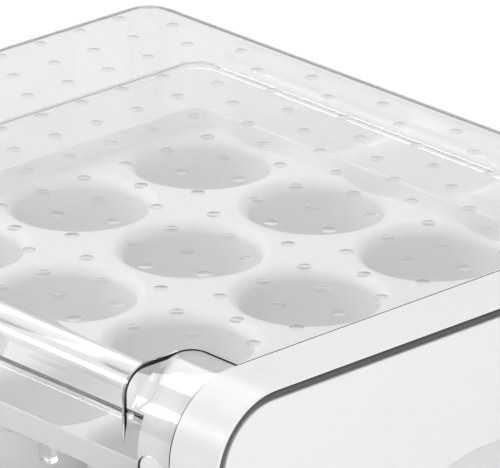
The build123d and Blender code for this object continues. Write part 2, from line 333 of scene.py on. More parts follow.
def dotted_ceiling(z):
    """Inner face of the top as cells with lens hollows, and the depth lines that its rows use."""
    ball_radius = (dot_radius**2 + dot_depth**2) / (2 * dot_depth)
    reach = dot_radius * np.sin(np.linspace(math.pi / 2, 0, dot_rings + 1))
    rise = np.sqrt(ball_radius**2 - reach**2) - (ball_radius - dot_depth)
    rings = [(0.0, z)] + list(zip(reach, z + rise))
    first_y = case_back_y - dot_back_gap
    count = int((first_y - case_front_y - dot_margin) / dot_pitch_y) + 1
    patches, all_lines = [], []
    for row in range(count):
        dot_y = first_y - row * dot_pitch_y
        low_y = case_front_y if row == count - 1 else dot_y - dot_pitch_y / 2
        high_y = flat_back_y if row == 0 else dot_y + dot_pitch_y / 2
        lines_y = np.linspace(low_y, high_y, dot_row_steps + 1)
        crossed = low_y < inner_step_y < high_y
        for needed in (inner_step_y, corner_turn_y):
            if low_y < needed < high_y:
                lines_y[np.argmin(np.abs(lines_y - needed))] = needed
        all_lines.append(lines_y)
        limit = corner_centre[0] if low_y < inner_step_y else flat_reach
        shift = dot_pitch_x / 2 * (row % 2)
        dots = np.arange(-most_dots, most_dots + 1) * dot_pitch_x + shift
        dots = dots[np.abs(dots) <= limit - dot_radius]
        for dot_x in dots:
            span = np.clip([dot_x - dot_pitch_x / 2, dot_x + dot_pitch_x / 2], -limit, limit)
            cell_lines = lines_between(x_lines, span[0], span[1])
            patches.append(cell_patch(cell_lines, lines_y, np.array([dot_x, dot_y]), rings))
        edge = min(dots[-1] + dot_pitch_x / 2, limit)
        for lines in (lines_between(x_lines, edge, limit), lines_between(x_lines, -limit, -edge)):
            if len(lines) > 1:
                patches.append(flat_patch(lines, lines_y, z))
        if crossed:
            rear_lines = lines_between(lines_y, inner_step_y, high_y)
            side_lines = lines_between(x_lines, corner_centre[0], flat_reach)
            patches.append(flat_patch(side_lines, rear_lines, z))
            patches.append(flat_patch(-side_lines[::-1], rear_lines, z))
    return patches, np.unique(np.round(np.concatenate(all_lines), digits))


def scoop_rear(outline):
    """Depth at which the scooped corner ends, for each point: straight, with a round inner corner."""
    beside = np.round(np.abs(outline[:, 0]) - step_place[0], rough_digits)
    inwards = np.clip(scoop_corner - beside, 0, scoop_corner)
    return collar_rear_y - scoop_corner + np.sqrt(scoop_corner**2 - inwards**2)


def turned_corner(points):
    """Turns the plan of the rear corners: a point on a ring of squares goes to the same ring of circles."""
    centre = np.array([half_width, case_back_y]) - back_corner_radius
    flat = back_corner_radius - case_edge_radius
    away = np.abs(points[..., :2] * [1, 0]) + points[..., :2] * [0, 1] - centre
    beyond = np.maximum(away - flat, 0)
    square = away.max(axis=-1)
    ring = np.where(square > flat, flat + np.hypot(beyond[..., 0], beyond[..., 1]), square)
    reach = np.maximum(np.hypot(away[..., 0], away[..., 1]), near)
    turned = away * (ring / reach)[..., None] + centre
    inside = (away > 0).all(axis=-1)
    moved = points.copy()
    moved[inside, 0] = (turned[..., 0] * np.sign(points[..., 0]))[inside]
    moved[inside, 1] = turned[inside][:, 1]
    return moved


def end_wall(row):
    """Flat grid that closes the last outline, with lines wherever the outline has points."""
    x_levels, z_levels = (np.unique(np.round(row[:, axis], merge_digits)) for axis in (0, 2))
    return flat_patch(x_levels, z_levels, row[0, 1])[..., [0, 2, 1]]


def rounded_rear(inset, end_y):
    """Outlines that draw in round the rear edge of the wall's outer or inner face."""
    steps = rear_rounding(case_edge_radius - inset, inset, end_y)
    return [at_depth(case_outline(drawn_in), y) for drawn_in, y in steps]


def without_ceiling(rows):
    """The grid less its columns along the ceiling, where the dotted cells take over."""
    on_top = np.abs(rows[0, :, 2] - ceiling_z) < near
    keep = np.flatnonzero(~(on_top[:-1] & on_top[1:]))
    groups = np.split(keep, np.flatnonzero(np.diff(keep) > 1) + 1)
    return [rows[:, group[0] : group[-1] + 2] for group in groups]


def clear_case():
    """Closed wall of the sleeve from outlines at growing depth, with its dotted ceiling."""
    collar_edge, body_edge = case_outline(0, True, scoop_step), case_outline(0)
    outer = [at_depth(case_outline(case_front_round, True, scoop_step), case_front_y),
             at_depth(collar_edge, case_front_y + case_front_round),
             at_depth(collar_edge, scoop_rear(collar_edge)), at_depth(body_edge, scoop_rear(body_edge))]
    turn_y = np.linspace(corner_turn_y, flat_back_y, turn_lines + 1)[:-1]
    outer += [at_depth(body_edge, y) for y in turn_y] + rounded_rear(0, case_back_y)
    inner = rounded_rear(wall, inner_back_y)
    ceiling, depth_lines = dotted_ceiling(ceiling_z)
    body_lines = depth_lines[depth_lines >= inner_step_y - near]
    collar_lines = depth_lines[depth_lines <= inner_step_y + near]
    body = np.stack([at_depth(case_outline(wall), y) for y in body_lines])
    collar = np.stack([at_depth(case_outline(wall, True), y) for y in collar_lines])
    grids = [np.stack(rows) for rows in (outer, inner, [collar[-1], body[0]], [outer[0], collar[0]])]
    grids += without_ceiling(body) + without_ceiling(collar)
    grids += ceiling + [end_wall(outer[-1]), end_wall(inner[-1])]
    return make_mesh("clear_case", [turned_corner(grid) for grid in grids])


def rounded_rectangle(half_x, half_z, radius, arc_steps=12):
    """Closed outline (x, z), clockwise from the top left of the flat top, with its first point again."""
    turn = np.linspace(math.pi / 2, 0, arc_steps + 1)
    upper_right = np.array([half_x - radius, half_z - radius]) + radius * on_circle(turn)
    lower_right = (upper_right * [1, -1])[::-1]
    lower_left = -upper_right
    upper_left = (upper_right * [-1, 1])[::-1]
    outline = np.concatenate([upper_right, lower_right, lower_left, upper_left])
    return np.concatenate([outline, outline[:1]])


window_length = 11.0
window_height = 28.0
window_setback = 2.0
window_corner = 4.0
window_arc_steps = 8


def window_cutter():
    """Bar with the outline of the side windows that runs across the whole case."""
    outline = rounded_rectangle(window_length / 2, window_height / 2, window_corner, window_arc_steps)
    middle_y = case_front_y + window_setback + window_length / 2
    beyond = half_width + wall
    ends = [with_level(outline + [middle_y, middle_z], x)[:, [2, 0, 1]] for x in (-beyond, beyond)]
    return capped_stack("windows", ends)


least_share, most_share = 0.05, 1.5


def mark_dots(mesh):
    """Writes 1 on the points inside the ceiling's hollows and 0 elsewhere, and counts them.

    A point is in a hollow if it lies between those shares of the dots' depth above the ceiling.
    """
    places = np.zeros(3 * len(mesh.vertices), np.float32)
    mesh.vertices.foreach_get("co", places)
    share = (places[2::3] / MM - ceiling_z) / dot_depth
    in_hollow = (share > least_share) & (share < most_share) & (np.abs(places[::3]) < flat_reach * MM)
    marks = mesh.attributes.new("dots", "FLOAT", "POINT")
    marks.data.foreach_set("value", in_hollow.astype(np.float32))
    return int(in_hollow.sum())


case = add_object(clear_case())
combine(case, window_cutter(), "DIFFERENCE")
print("points in dots:", mark_dots(case.data))
report(case)

# %% [markdown]
# The white frame is a bar bent round a rounded rectangle. The bar's section is a short line of points that
# says how far each lies in from the outer wall and at what depth. Carried round the outline, the section
# makes the whole ring. Tiny roundings on its edges take the thin white glints of real moulded plastic.

# %% White front frame
frame_front_y = box_of("front_frame")[0][1]
frame_rear_y = case_front_y
frame_lip = 1.0
frame_front_round = 0.5
frame_rear_round = 0.25
frame_edge_round = 0.25
frame_land_inset = 2.7
frame_land_length = 8.0
ring_arc_steps = 24


def arc_points(centre, radius, start, end, steps=5):
    """Points on a circle between two angles in degrees."""
    turn = np.radians(np.linspace(start, end, steps + 1))
    return [(centre[0] + radius * math.cos(t), centre[1] + radius * math.sin(t)) for t in turn]


def inset_outline(inset):
    """Outline of the frame drawn in by inset, all round."""
    radius = frame_corner_radius - inset
    return rounded_rectangle(half_width - inset, half_height - inset, radius, ring_arc_steps)


def carried_round(section):
    """Grid of a section, rows of (inset, depth), carried round the frame's outline."""
    return np.stack([at_depth(inset_outline(inset), y) for inset, y in section])


def frame_section():
    """Closed section of the frame: outer wall, front edge, lip, step to the land, rear."""
    front_round, edge = frame_front_round, frame_edge_round
    land_y = frame_rear_y - frame_land_length
    points = [(frame_rear_round, frame_rear_y), (0.0, frame_rear_y - frame_rear_round)]
    points += arc_points((front_round, frame_front_y + front_round), front_round, 180, 270)
    points += arc_points((frame_lip - edge, frame_front_y + edge), edge, 270, 360)
    points += [(frame_lip, land_y), (frame_land_inset, land_y), (frame_land_inset, frame_rear_y)]
    return points + points[:1]


frame_piece = add_object(make_mesh("white_frame", [carried_round(frame_section())]))
report(frame_piece)

# %% [markdown]
# Two white tongues reach from the frame into the collar and hold it. Each is a curved plate that follows
# the inside of the collar's side, with its rear corners cut round. On it sits a raised pad that clicks
# into the side window, so the pad shows flush in the clear wall.

# %% Tongues and tabs of the frame
tongue_length = 14.0
tongue_clearance = 0.1
tongue_let_in = 0.05
tongue_corner = 2.5
tongue_arc_degrees = 68.3
tongue_side_steps = 9
tongue_depth_steps = 12
tab_clearance = 0.25
tab_recess = 0.3
tab_round = 0.5


def tongue_line(inset):
    """Half section of a tongue (x, z, length along it) from the middle of the side up round the corner."""
    radius = frame_corner_radius - inset
    rise = np.linspace(0, corner_centre[1], tongue_side_steps + 1)
    turn = np.radians(np.linspace(0, tongue_arc_degrees, 3 * tongue_side_steps + 1))[1:]
    x = np.concatenate([np.full(len(rise), half_width - inset), corner_centre[0] + radius * np.cos(turn)])
    z = np.concatenate([rise, corner_centre[1] + radius * np.sin(turn)])
    along = np.concatenate([rise, corner_centre[1] + (frame_corner_radius - wall) * turn])
    upper = np.stack([x, z, along], axis=1)
    lower = (upper * [1, -1, -1])[:0:-1]
    return np.concatenate([lower, upper])


def tongue(side):
    """Curved plate: its rear edge draws back towards both ends of the section in a quarter circle."""
    layers = []
    for inset in (wall + tongue_clearance, frame_land_inset - tongue_let_in):
        line = tongue_line(inset)
        from_end = line[-1, 2] - np.abs(line[:, 2])
        short = np.clip(tongue_corner - from_end, 0, tongue_corner)
        cut = tongue_corner - np.sqrt(tongue_corner**2 - short**2)
        share = np.linspace(0, 1, tongue_depth_steps + 1)[:, None]
        y = frame_rear_y - frame_edge_round + share * (tongue_length + frame_edge_round - cut)
        x = np.broadcast_to(side * line[:, 0], y.shape)
        z = np.broadcast_to(line[:, 1] + middle_z, y.shape)
        layers.append(np.stack([x, y, z], axis=-1))
    outer, inner = layers
    rims = [np.stack([outer[k], inner[k]]) for k in (0, -1)]
    ends = [np.stack([outer[:, k], inner[:, k]]) for k in (0, -1)]
    return [outer, inner] + rims + ends


def tab(side):
    """Rounded pad in the side window, from inside the tongue almost to the outer face of the case."""
    length = window_length / 2 - tab_clearance
    height = window_height / 2 - tab_clearance
    corner = window_corner - tab_clearance
    middle_y = case_front_y + window_setback + window_length / 2
    section = [(frame_land_inset - tab_clearance, 0.0)]
    section += [(tab_recess + tab_round - out, tab_round - edge)
                for edge, out in arc_points((0, 0), tab_round, 0, 90)]
    rows = []
    for inset, edge in section:
        outline = rounded_rectangle(length - edge, height - edge, corner - edge, window_arc_steps)
        x = side * (half_width - inset)
        rows.append(with_level(outline + [middle_y, middle_z], x)[:, [2, 0, 1]])
    return rows


for side in (-1, 1):
    combine(frame_piece, make_mesh("tongue", tongue(side)), "UNION")
    combine(frame_piece, capped_stack("tab", tab(side)), "UNION")
report(frame_piece)

# %% [markdown]
# The clear drawer is a tub. Its section is a wide U with large lower corners, and the same U drawn in
# closes it at the back. The rim turns outwards and follows the top of the walls as a path: along one
# side, round the rear corner, across the back and along the other side. The tall front wall, the small
# ledges under the tray and the stop lugs are joined on with a boolean.

# %% Clear drawer
tub_wall = 1.4
tub_floor = 1.8
rim_width = 2.2
rim_height = 2.2
rim_round = 1.0
rim_inner_round = 1.0
tub_bottom_radius = 17.0
tub_back_radius = 9.0
tub_front_wall = 1.6
rim_below_top = 14.8
tray_clearance = 0.3
stop_height = 1.6
tub_lowest = tub_low[2] + stop_height
rim_top = case_high[2] - rim_below_top
tub_side = tray_high[0] + tray_clearance + tub_wall
tub_rear_y = tub_high[1] - (rim_width - tub_wall)
tub_front_y = tub_low[1]
rim_bottom = rim_top - rim_height
tub_arc_steps = 14
tub_flat_steps = 8
tub_wall_steps = 4
tub_depth_steps = 5
rim_back_steps = 24


def u_section(inset, floor_z, top_z, side, radius):
    """Points (x, z) of a U from its left top edge down, along the floor and up to its right top edge."""
    half, low, bend = side - inset, floor_z + inset, radius - inset
    turn = np.linspace(math.pi, 1.5 * math.pi, tub_arc_steps + 1)
    centre = np.array([-(half - bend), low + bend])
    arc = centre + bend * on_circle(turn)
    down = with_level(np.linspace(top_z, low + bend, tub_wall_steps + 1)[:-1], -half)[:, ::-1]
    flat = with_level(np.linspace(-(half - bend), 0, tub_flat_steps + 1)[1:], low)
    left = np.concatenate([down, arc, flat])
    return np.concatenate([left, (left * [-1, 1])[-2::-1]])


def tub_surface(inset, floor_z, top_z, radius, back_radius, front_y, rear_y):
    """Grid of the U carried back and drawn in round the rear edge."""
    steps = [(0.0, y) for y in np.linspace(front_y, rear_y - back_radius, tub_depth_steps + 1)[:-1]]
    steps += rear_rounding(back_radius, 0, rear_y)
    sections = [(u_section(d, floor_z, top_z, tub_side - inset, radius), y) for d, y in steps]
    return np.stack([with_level(section, y)[:, [0, 2, 1]] for section, y in sections])


def back_edge(surface):
    """Points along the top of the rear wall, between the two ends of the last section."""
    left, right = surface[-1, 0], surface[-1, -1]
    share = np.linspace(0, 1, rim_back_steps + 1)[:, None]
    return left + share * (right - left)


def rim_path(surface):
    """Plan points and outward directions along the top of the walls: left side, back, right side."""
    left, right = surface[:, 0], surface[::-1, -1]
    back = back_edge(surface)
    places = np.concatenate([left, back[1:-1], right])
    count = len(left) - rear_round_steps - 1
    turn = np.concatenate([np.zeros(count), np.linspace(0, math.pi / 2, rear_round_steps + 1)])
    left_out = np.stack([-np.cos(turn), np.sin(turn)], axis=1)
    back_out = np.tile([0.0, 1.0], (len(back) - 2, 1))
    right_out = (left_out * [-1, 1])[::-1]
    return places[:, :2], np.concatenate([left_out, back_out, right_out])


def rim_surface(surface):
    """Grid of the rim's section, (offset outwards, height), carried along the path."""
    outward = rim_width - tub_wall
    section = [(0.0, rim_bottom), (outward, rim_bottom)]
    section += arc_points((outward - rim_round, rim_top - rim_round), rim_round, 0, 90)
    inner_edge = -tub_wall + rim_inner_round
    section += arc_points((inner_edge, rim_top - rim_inner_round), rim_inner_round, 90, 180)
    places, out = rim_path(surface)
    return np.stack([with_level(places + offset * out, z) for offset, z in section])


def box_grid(low, high):
    """Closed box as rings of points from its lower face to its upper face, with its two caps."""
    (x0, y0, z0), (x1, y1, z1) = low, high
    plan = np.array([[x0, y0], [x1, y0], [x1, y1], [x0, y1], [x0, y0]])
    rings = [with_level(plan, z) for z in (z0, z1)]
    return np.stack(rings), rings[0][:-1], rings[1][:-1]


def boxes(name, spans):
    """One mesh of several separate boxes."""
    made = [box_grid(low, high) for low, high in spans]
    caps = [cap for _, low_cap, high_cap in made for cap in (low_cap, high_cap)]
    return make_mesh(name, [rings for rings, _, _ in made], caps)


overlap = 0.4
start_y = tub_front_y + tub_front_wall / 2
outside = tub_surface(0, tub_lowest, rim_bottom, tub_bottom_radius, tub_back_radius, start_y, tub_rear_y)
inside = tub_surface(tub_wall, tub_lowest + tub_floor, rim_top - rim_inner_round,
                     tub_bottom_radius - tub_wall, tub_back_radius - tub_wall,
                     start_y, tub_rear_y - tub_wall)
rim = rim_surface(outside)
tub_caps = [np.concatenate([s[-1], back_edge(s)[-2:0:-1]]) for s in (outside, inside)]
front_end = np.concatenate([outside[0][::-1], rim[1:-1, 0], inside[0], rim[-2:0:-1, -1]])
tub_piece = add_object(make_mesh("clear_drawer", [outside, inside, rim], tub_caps + [front_end]))
report(tub_piece)

panel_inset = half_width - panel_high[0]
front_rows = [at_depth(inset_outline(panel_inset), y) for y in (tub_front_y, tub_front_y + tub_front_wall)]
combine(tub_piece, capped_stack("front wall", front_rows), "UNION")
report(tub_piece)

# %% [markdown]
# Ledges hold the tray's edge between the cups, and two lugs under the floor meet the stops on the case.
# They are plain small blocks, let a little into the wall so that the boolean finds one solid.

# %% Ledges and lugs of the drawer
egg_pitch = 51.4
rear_row_gap = 27.0
ledge_length = 5.0
ledge_height = 5.0
ledge_width = 2.4
stop_width = 16.0
stop_length = 6.0
stop_offset = 28.0
stop_gap = 0.3
drawer_travel = 170.0
stop_place_y = box_of("stop_block_left")[1][1] + drawer_travel + stop_gap
tray_plate = 1.3
tray_border_height = 5.8
tray_top = tray_high[2] - tray_border_height
tray_underside = tray_top - tray_plate
inner_side = tub_side - tub_wall
inner_rear_y = tub_rear_y - tub_wall
inner_front_y = tub_front_y + tub_front_wall
columns_x = (np.arange(4) - 1.5) * egg_pitch
rows_y = inner_rear_y - rear_row_gap - np.arange(4) * egg_pitch


def ledge_spans():
    """Corners of the ledges along both sides, the back and the front, and of the two stop lugs."""
    low_z, high_z = tray_underside - ledge_height, tray_underside
    half = ledge_length / 2
    spans = []
    for y in (rows_y[:-1] + rows_y[1:]) / 2:
        for side in (-1, 1):
            x = sorted((side * (inner_side - ledge_width), side * (inner_side + overlap)))
            spans.append(((x[0], y - half, low_z), (x[1], y + half, high_z)))
    for x in (columns_x[:-1] + columns_x[1:]) / 2:
        for y in ((inner_rear_y - ledge_width, inner_rear_y + overlap),
                  (inner_front_y - overlap, inner_front_y + ledge_width)):
            spans.append(((x - half, y[0], low_z), (x + half, y[1], high_z)))
    for side in (-1, 1):
        x = side * stop_offset
        spans.append(((x - stop_width / 2, stop_place_y, tub_lowest - stop_height),
                      (x + stop_width / 2, stop_place_y + stop_length, tub_lowest + overlap)))
    return spans


combine(tub_piece, boxes("ledges", ledge_spans()), "UNION")
report(tub_piece)

# %% [markdown]
# The egg tray repeats one cell sixteen times. A cell starts as a square, becomes a circle at the mouth of
# the cup, rolls over the wide lip, drops down the wall, draws in to the open foot and comes back up the
# outside to the underside of the plate. All of that is one list of (radius, height) rings. A low border
# goes round the plate, and a block with the tray's plan trims both to size.

# %% Egg tray
cup_radius = 21.0
cup_ring_radius = 18.8
cup_flare = 4.2
cup_straight = 6.0
cup_depth = tray_top - tray_low[2]
cup_foot_round = 0.4
cell_steps = 18
lip_steps = 12
bowl_steps = 10
under_lip_steps = 8
tray_corner_steps = 10
tray_over = 4.0
tray_border = 1.0
border_round = 0.4
tray_corner = tub_back_radius - tub_wall


def cup_rings():
    """(radius, height below the plate's top) of a cup, down the inside and up the outside."""
    drop, narrowing = cup_depth - cup_straight, cup_radius - cup_ring_radius
    bowl = (drop**2 + narrowing**2) / (2 * narrowing)
    centre, lip = (cup_radius - bowl, -cup_straight), (cup_radius + cup_flare, -cup_flare)
    turn = -math.degrees(math.asin(drop / bowl))
    outer_turn = -math.degrees(math.asin(drop / (bowl + tray_plate)))
    inside = arc_points(centre, bowl, 0, turn, bowl_steps)
    outside = arc_points(centre, bowl + tray_plate, outer_turn, 0, bowl_steps)
    foot_in, foot_out = inside[-1][0], outside[0][0]
    rings = arc_points(lip, cup_flare, 90, 180, lip_steps) + inside[:-1]
    rings += [(foot_in, -cup_depth + cup_foot_round), (foot_in + cup_foot_round, -cup_depth)]
    rings += [(foot_out - cup_foot_round, -cup_depth), (foot_out, -cup_depth + cup_foot_round)]
    return rings + outside[1:] + arc_points(lip, cup_flare - tray_plate, 180, 90, under_lip_steps)


def tray_cells():
    """Grids of the sixteen cells and the plate's outer edge, a little larger than the tray."""
    x_edges = np.concatenate([[columns_x[0] - egg_pitch / 2], columns_x + egg_pitch / 2])
    y_edges = np.concatenate([rows_y + egg_pitch / 2, [tray_low[1] - tray_over]])
    y_edges[0] = tray_high[1] + tray_over
    rings = [(radius, tray_top + height) for radius, height in [(0.0, 0.0)] + cup_rings()]
    lines_x = [np.linspace(low, high, cell_steps + 1) for low, high in zip(x_edges[:-1], x_edges[1:])]
    lines_y = [np.linspace(low, high, cell_steps + 1) for low, high in zip(y_edges[1:], y_edges[:-1])]
    grids = []
    for x, across in zip(columns_x, lines_x):
        for y, along in zip(rows_y, lines_y):
            patch = cell_patch(across, along, np.array([x, y]), rings)
            under = patch[:1] * [1, 1, 0] + [0, 0, tray_underside]
            grids.append(np.concatenate([patch, under]))
    outline_x, outline_y = np.unique(np.concatenate(lines_x)), np.unique(np.concatenate(lines_y))
    edges = [with_level(outline_x, y) for y in outline_y[[0, -1]]]
    edges += [with_level(outline_y, x)[:, ::-1] for x in outline_x[[0, -1]]]
    return grids + [np.stack([with_level(edge, z) for z in (tray_top, tray_underside)]) for edge in edges]


def tray_outline(inset, z):
    """Plan of the tray, drawn in by inset, as points at one height."""
    half_x, half_y = tray_high[0] - inset, (tray_high[1] - tray_low[1]) / 2 - inset
    plan = rounded_rectangle(half_x, half_y, tray_corner - inset, tray_corner_steps)
    return with_level(plan + [0, (tray_high[1] + tray_low[1]) / 2], z)


def tray_border_ring():
    """Border that stands on the plate's edge, rounded on its inner top edge and too wide outside."""
    top = tray_high[2]
    section = [(-tray_over / 2, tray_underside), (-tray_over / 2, top)]
    section += arc_points((tray_border - border_round, top - border_round), border_round, 90, 0)
    section += [(tray_border, tray_underside), (-tray_over / 2, tray_underside)]
    return make_mesh("tray border", [np.stack([tray_outline(inset, z) for inset, z in section])])


def tray_block():
    """Outlines of a block with the plan of the tray that trims the cells and the border."""
    return [tray_outline(0, z) for z in (0.0, tray_high[2] + tray_over)]


tray_piece = add_object(make_mesh("cup_tray", tray_cells()))
report(tray_piece)
combine(tray_piece, tray_border_ring(), "UNION")
combine(tray_piece, capped_stack("tray block", tray_block()), "INTERSECT")
report(tray_piece)

# %% [markdown]
# The drawer's front is a hollow cap, a little smaller at its face than at its back so that it leaves the
# mould. Seen from the middle of the finger recess, both the recess and the cap's edge are star-shaped:
# each direction meets them once. So every outline is sampled in the same directions, and the whole cap
# is one stack of outlines: recess floor, recess wall, face, edge, inside.

# %% Drawer front with its finger recess
panel_skin = 2.2
panel_edge_wall = 2.4
panel_edge_round = 0.5
panel_draft = 0.6
recess_width = 70.0
recess_height = 22.0
recess_depth = 12.5
recess_bottom_gap = 6.0
recess_corner = 9.0
recess_edge_round = 1.0
recess_floor_round = 3.0
recess_wall = 2.0
arch_steps = 40
recess_corner_steps = 12
edge_steps = 6
spare_reach, spare_directions = 3.1, 41
panel_face_y = panel_low[1]
recess_bottom = panel_low[2] + recess_bottom_gap
recess_middle = recess_bottom + recess_height / 2


def arched_outline(grow):
    """Outline of the recess (x, z), grown by a wall: flat below, round lower corners, one arch above."""
    half, low = recess_width / 2 + grow, recess_bottom - grow
    shoulder, crown = recess_bottom + recess_height / 2, recess_bottom + recess_height + grow
    corner, rise = recess_corner + grow, crown - shoulder
    bend = (half**2 + rise**2) / (2 * rise)
    reach = math.degrees(math.asin(half / bend))
    arch = arc_points((0, crown - bend), bend, 90 + reach, 90 - reach, arch_steps)
    right = arc_points((half - corner, low + corner), corner, 0, -90, recess_corner_steps)
    left = arc_points((-half + corner, low + corner), corner, -90, -180, recess_corner_steps)
    return np.array(arch + right + left)


def edge_outline(inset):
    """Outline of the front (x, z), drawn in by inset."""
    return inset_outline(panel_inset + inset)[:-1] + [0, middle_z]


def directions():
    """Directions from the middle of the recess that meet every bend of both outlines."""
    found = [np.linspace(-spare_reach, spare_reach, spare_directions)]
    for outline in (arched_outline(0), edge_outline(0)):
        found.append(np.arctan2(outline[:, 1] - recess_middle, outline[:, 0]))
    return np.unique(np.round(np.concatenate(found), merge_digits))


def turned_by(first, second):
    """Cross product of plane vectors, row by row."""
    return first[:, 0] * second[:, 1] - first[:, 1] * second[:, 0]


def sampled(outline, turn):
    """The outline's points in the given directions, by its distance from the middle of the recess."""
    angle = np.arctan2(outline[:, 1] - recess_middle, outline[:, 0])
    order = np.argsort(angle)
    angle, points = angle[order], outline[order]
    angle = np.concatenate([angle[-1:] - 2 * math.pi, angle, angle[:1] + 2 * math.pi])
    points = np.concatenate([points[-1:], points, points[:1]])
    start = np.searchsorted(angle, turn, side="right") - 1
    a, b = points[start] - [0, recess_middle], points[start + 1] - [0, recess_middle]
    ray = on_circle(turn)
    reach = turned_by(a, b - a) / turned_by(ray, b - a)
    return ray * reach[:, None] + [0, recess_middle]


def panel_rows():
    """Outlines of the cap in order, from the middle of the recess floor over the face to the inside."""
    turn = directions()
    turn = np.concatenate([turn, turn[:1] + 2 * math.pi])
    floor_y = panel_face_y + recess_depth
    rows = []

    def add(outline, y):
        points = sampled(outline, np.mod(turn + math.pi, 2 * math.pi) - math.pi)
        rows.append(with_level(points, y)[:, [0, 2, 1]])

    def edge_round(radius, start, end):
        return arc_points((radius, radius), radius, start, end, edge_steps)

    for inset, depth in edge_round(recess_floor_round, 270, 180):
        add(arched_outline(-inset), floor_y - depth)
    for grow, depth in edge_round(recess_edge_round, 180, 270):
        add(arched_outline(grow), panel_face_y + depth)
    for inset, depth in edge_round(panel_edge_round, 270, 180):
        add(edge_outline(panel_draft + inset), panel_face_y + depth)
    hollow_y = panel_face_y + panel_skin
    add(edge_outline(0), tub_front_y)
    add(edge_outline(panel_edge_wall), tub_front_y)
    add(edge_outline(panel_edge_wall), hollow_y)
    add(arched_outline(recess_wall), hollow_y)
    add(arched_outline(recess_wall), floor_y + recess_wall)
    return rows


panel_piece = add_object(capped_stack("drawer_front", panel_rows()))
report(panel_piece)

# %% [markdown]
# The soft seal round the front is the frame's idea again, a section carried round: a ring with a full
# round bead in front and a shallow groove between two beads behind, where it presses on the land.

# %% Seal
seal_front_y, seal_rear_y = seal_low[1], seal_high[1]
seal_outer = half_width - seal_high[0]
seal_inner = panel_inset
seal_groove = 0.5
bead_steps = 12


def seal_section():
    """Closed section of the seal as (inset, depth)."""
    width = seal_inner - seal_outer
    bead = ((seal_outer + seal_inner) / 2, seal_front_y + width / 2)
    points = [(seal_outer, seal_rear_y)] + arc_points(bead, width / 2, 180, 360, bead_steps)
    points += [(seal_inner, seal_rear_y), (seal_inner - width / 3, seal_rear_y)]
    points += [(seal_inner - width / 2, seal_rear_y - seal_groove), (seal_outer + width / 3, seal_rear_y)]
    return points + points[:1]


seal_piece = add_object(make_mesh("soft_seal", [carried_round(seal_section())]))
report(seal_piece)

# %% [markdown]
# Moulded plastic is never perfectly even. The mould leaves a fine grain and slow waves, and use leaves
# smudges and hairline scratches. Those two effects are shader groups, built once and placed in every
# material with its own strengths. A group hands out only masks and heights; the shader stays outside.

# %% Shader groups for grain and for marks of use
def link(tree, source, target):
    """Joins two sockets."""
    tree.links.new(source, target)


def new_node(tree, kind, **settings):
    """Node with its settings, or the values of its named inputs."""
    node = tree.nodes.new(kind)
    for name, value in settings.items():
        if hasattr(node, name):
            setattr(node, name, value)
        else:
            node.inputs[name.replace("_", " ")].default_value = value
    return node


def number(tree, operation, *values, clamp=False):
    """Output of a Math node whose inputs are other nodes' outputs or plain numbers."""
    node = new_node(tree, "ShaderNodeMath", operation=operation, use_clamp=clamp)
    for socket, value in zip(node.inputs, values):
        if isinstance(value, float):
            socket.default_value = value
        else:
            link(tree, value, socket)
    return node.outputs[0]


def new_group(name, numbers, outputs):
    """Node group with a vector input, number inputs (name, value) and number outputs."""
    group = bpy.data.node_groups.new(name, "ShaderNodeTree")
    group.interface.new_socket("Vector", in_out="INPUT", socket_type="NodeSocketVector")
    for label, value in numbers:
        socket = group.interface.new_socket(label, in_out="INPUT", socket_type="NodeSocketFloat")
        socket.default_value = value
    for label in outputs:
        group.interface.new_socket(label, in_out="OUTPUT", socket_type="NodeSocketFloat")
    return group, group.nodes.new("NodeGroupInput"), group.nodes.new("NodeGroupOutput")


def mould_grain():
    """Group: a height made of slow waves and fine grain, each with its own share."""
    group, given, out = new_group("mould grain", [("Wave", 1.0), ("Grain", 1.0)], ["Height"])
    wave = new_node(group, "ShaderNodeTexNoise", Scale=22.0, Detail=1.5, Roughness=0.4)
    grain = new_node(group, "ShaderNodeTexNoise", Scale=2600.0, Detail=2.0, Roughness=0.6)
    heights = []
    for texture, share in ((wave, "Wave"), (grain, "Grain")):
        link(group, given.outputs["Vector"], texture.inputs["Vector"])
        heights.append(number(group, "MULTIPLY", texture.outputs["Fac"], given.outputs[share]))
    link(group, number(group, "ADD", *heights), out.inputs["Height"])
    return group


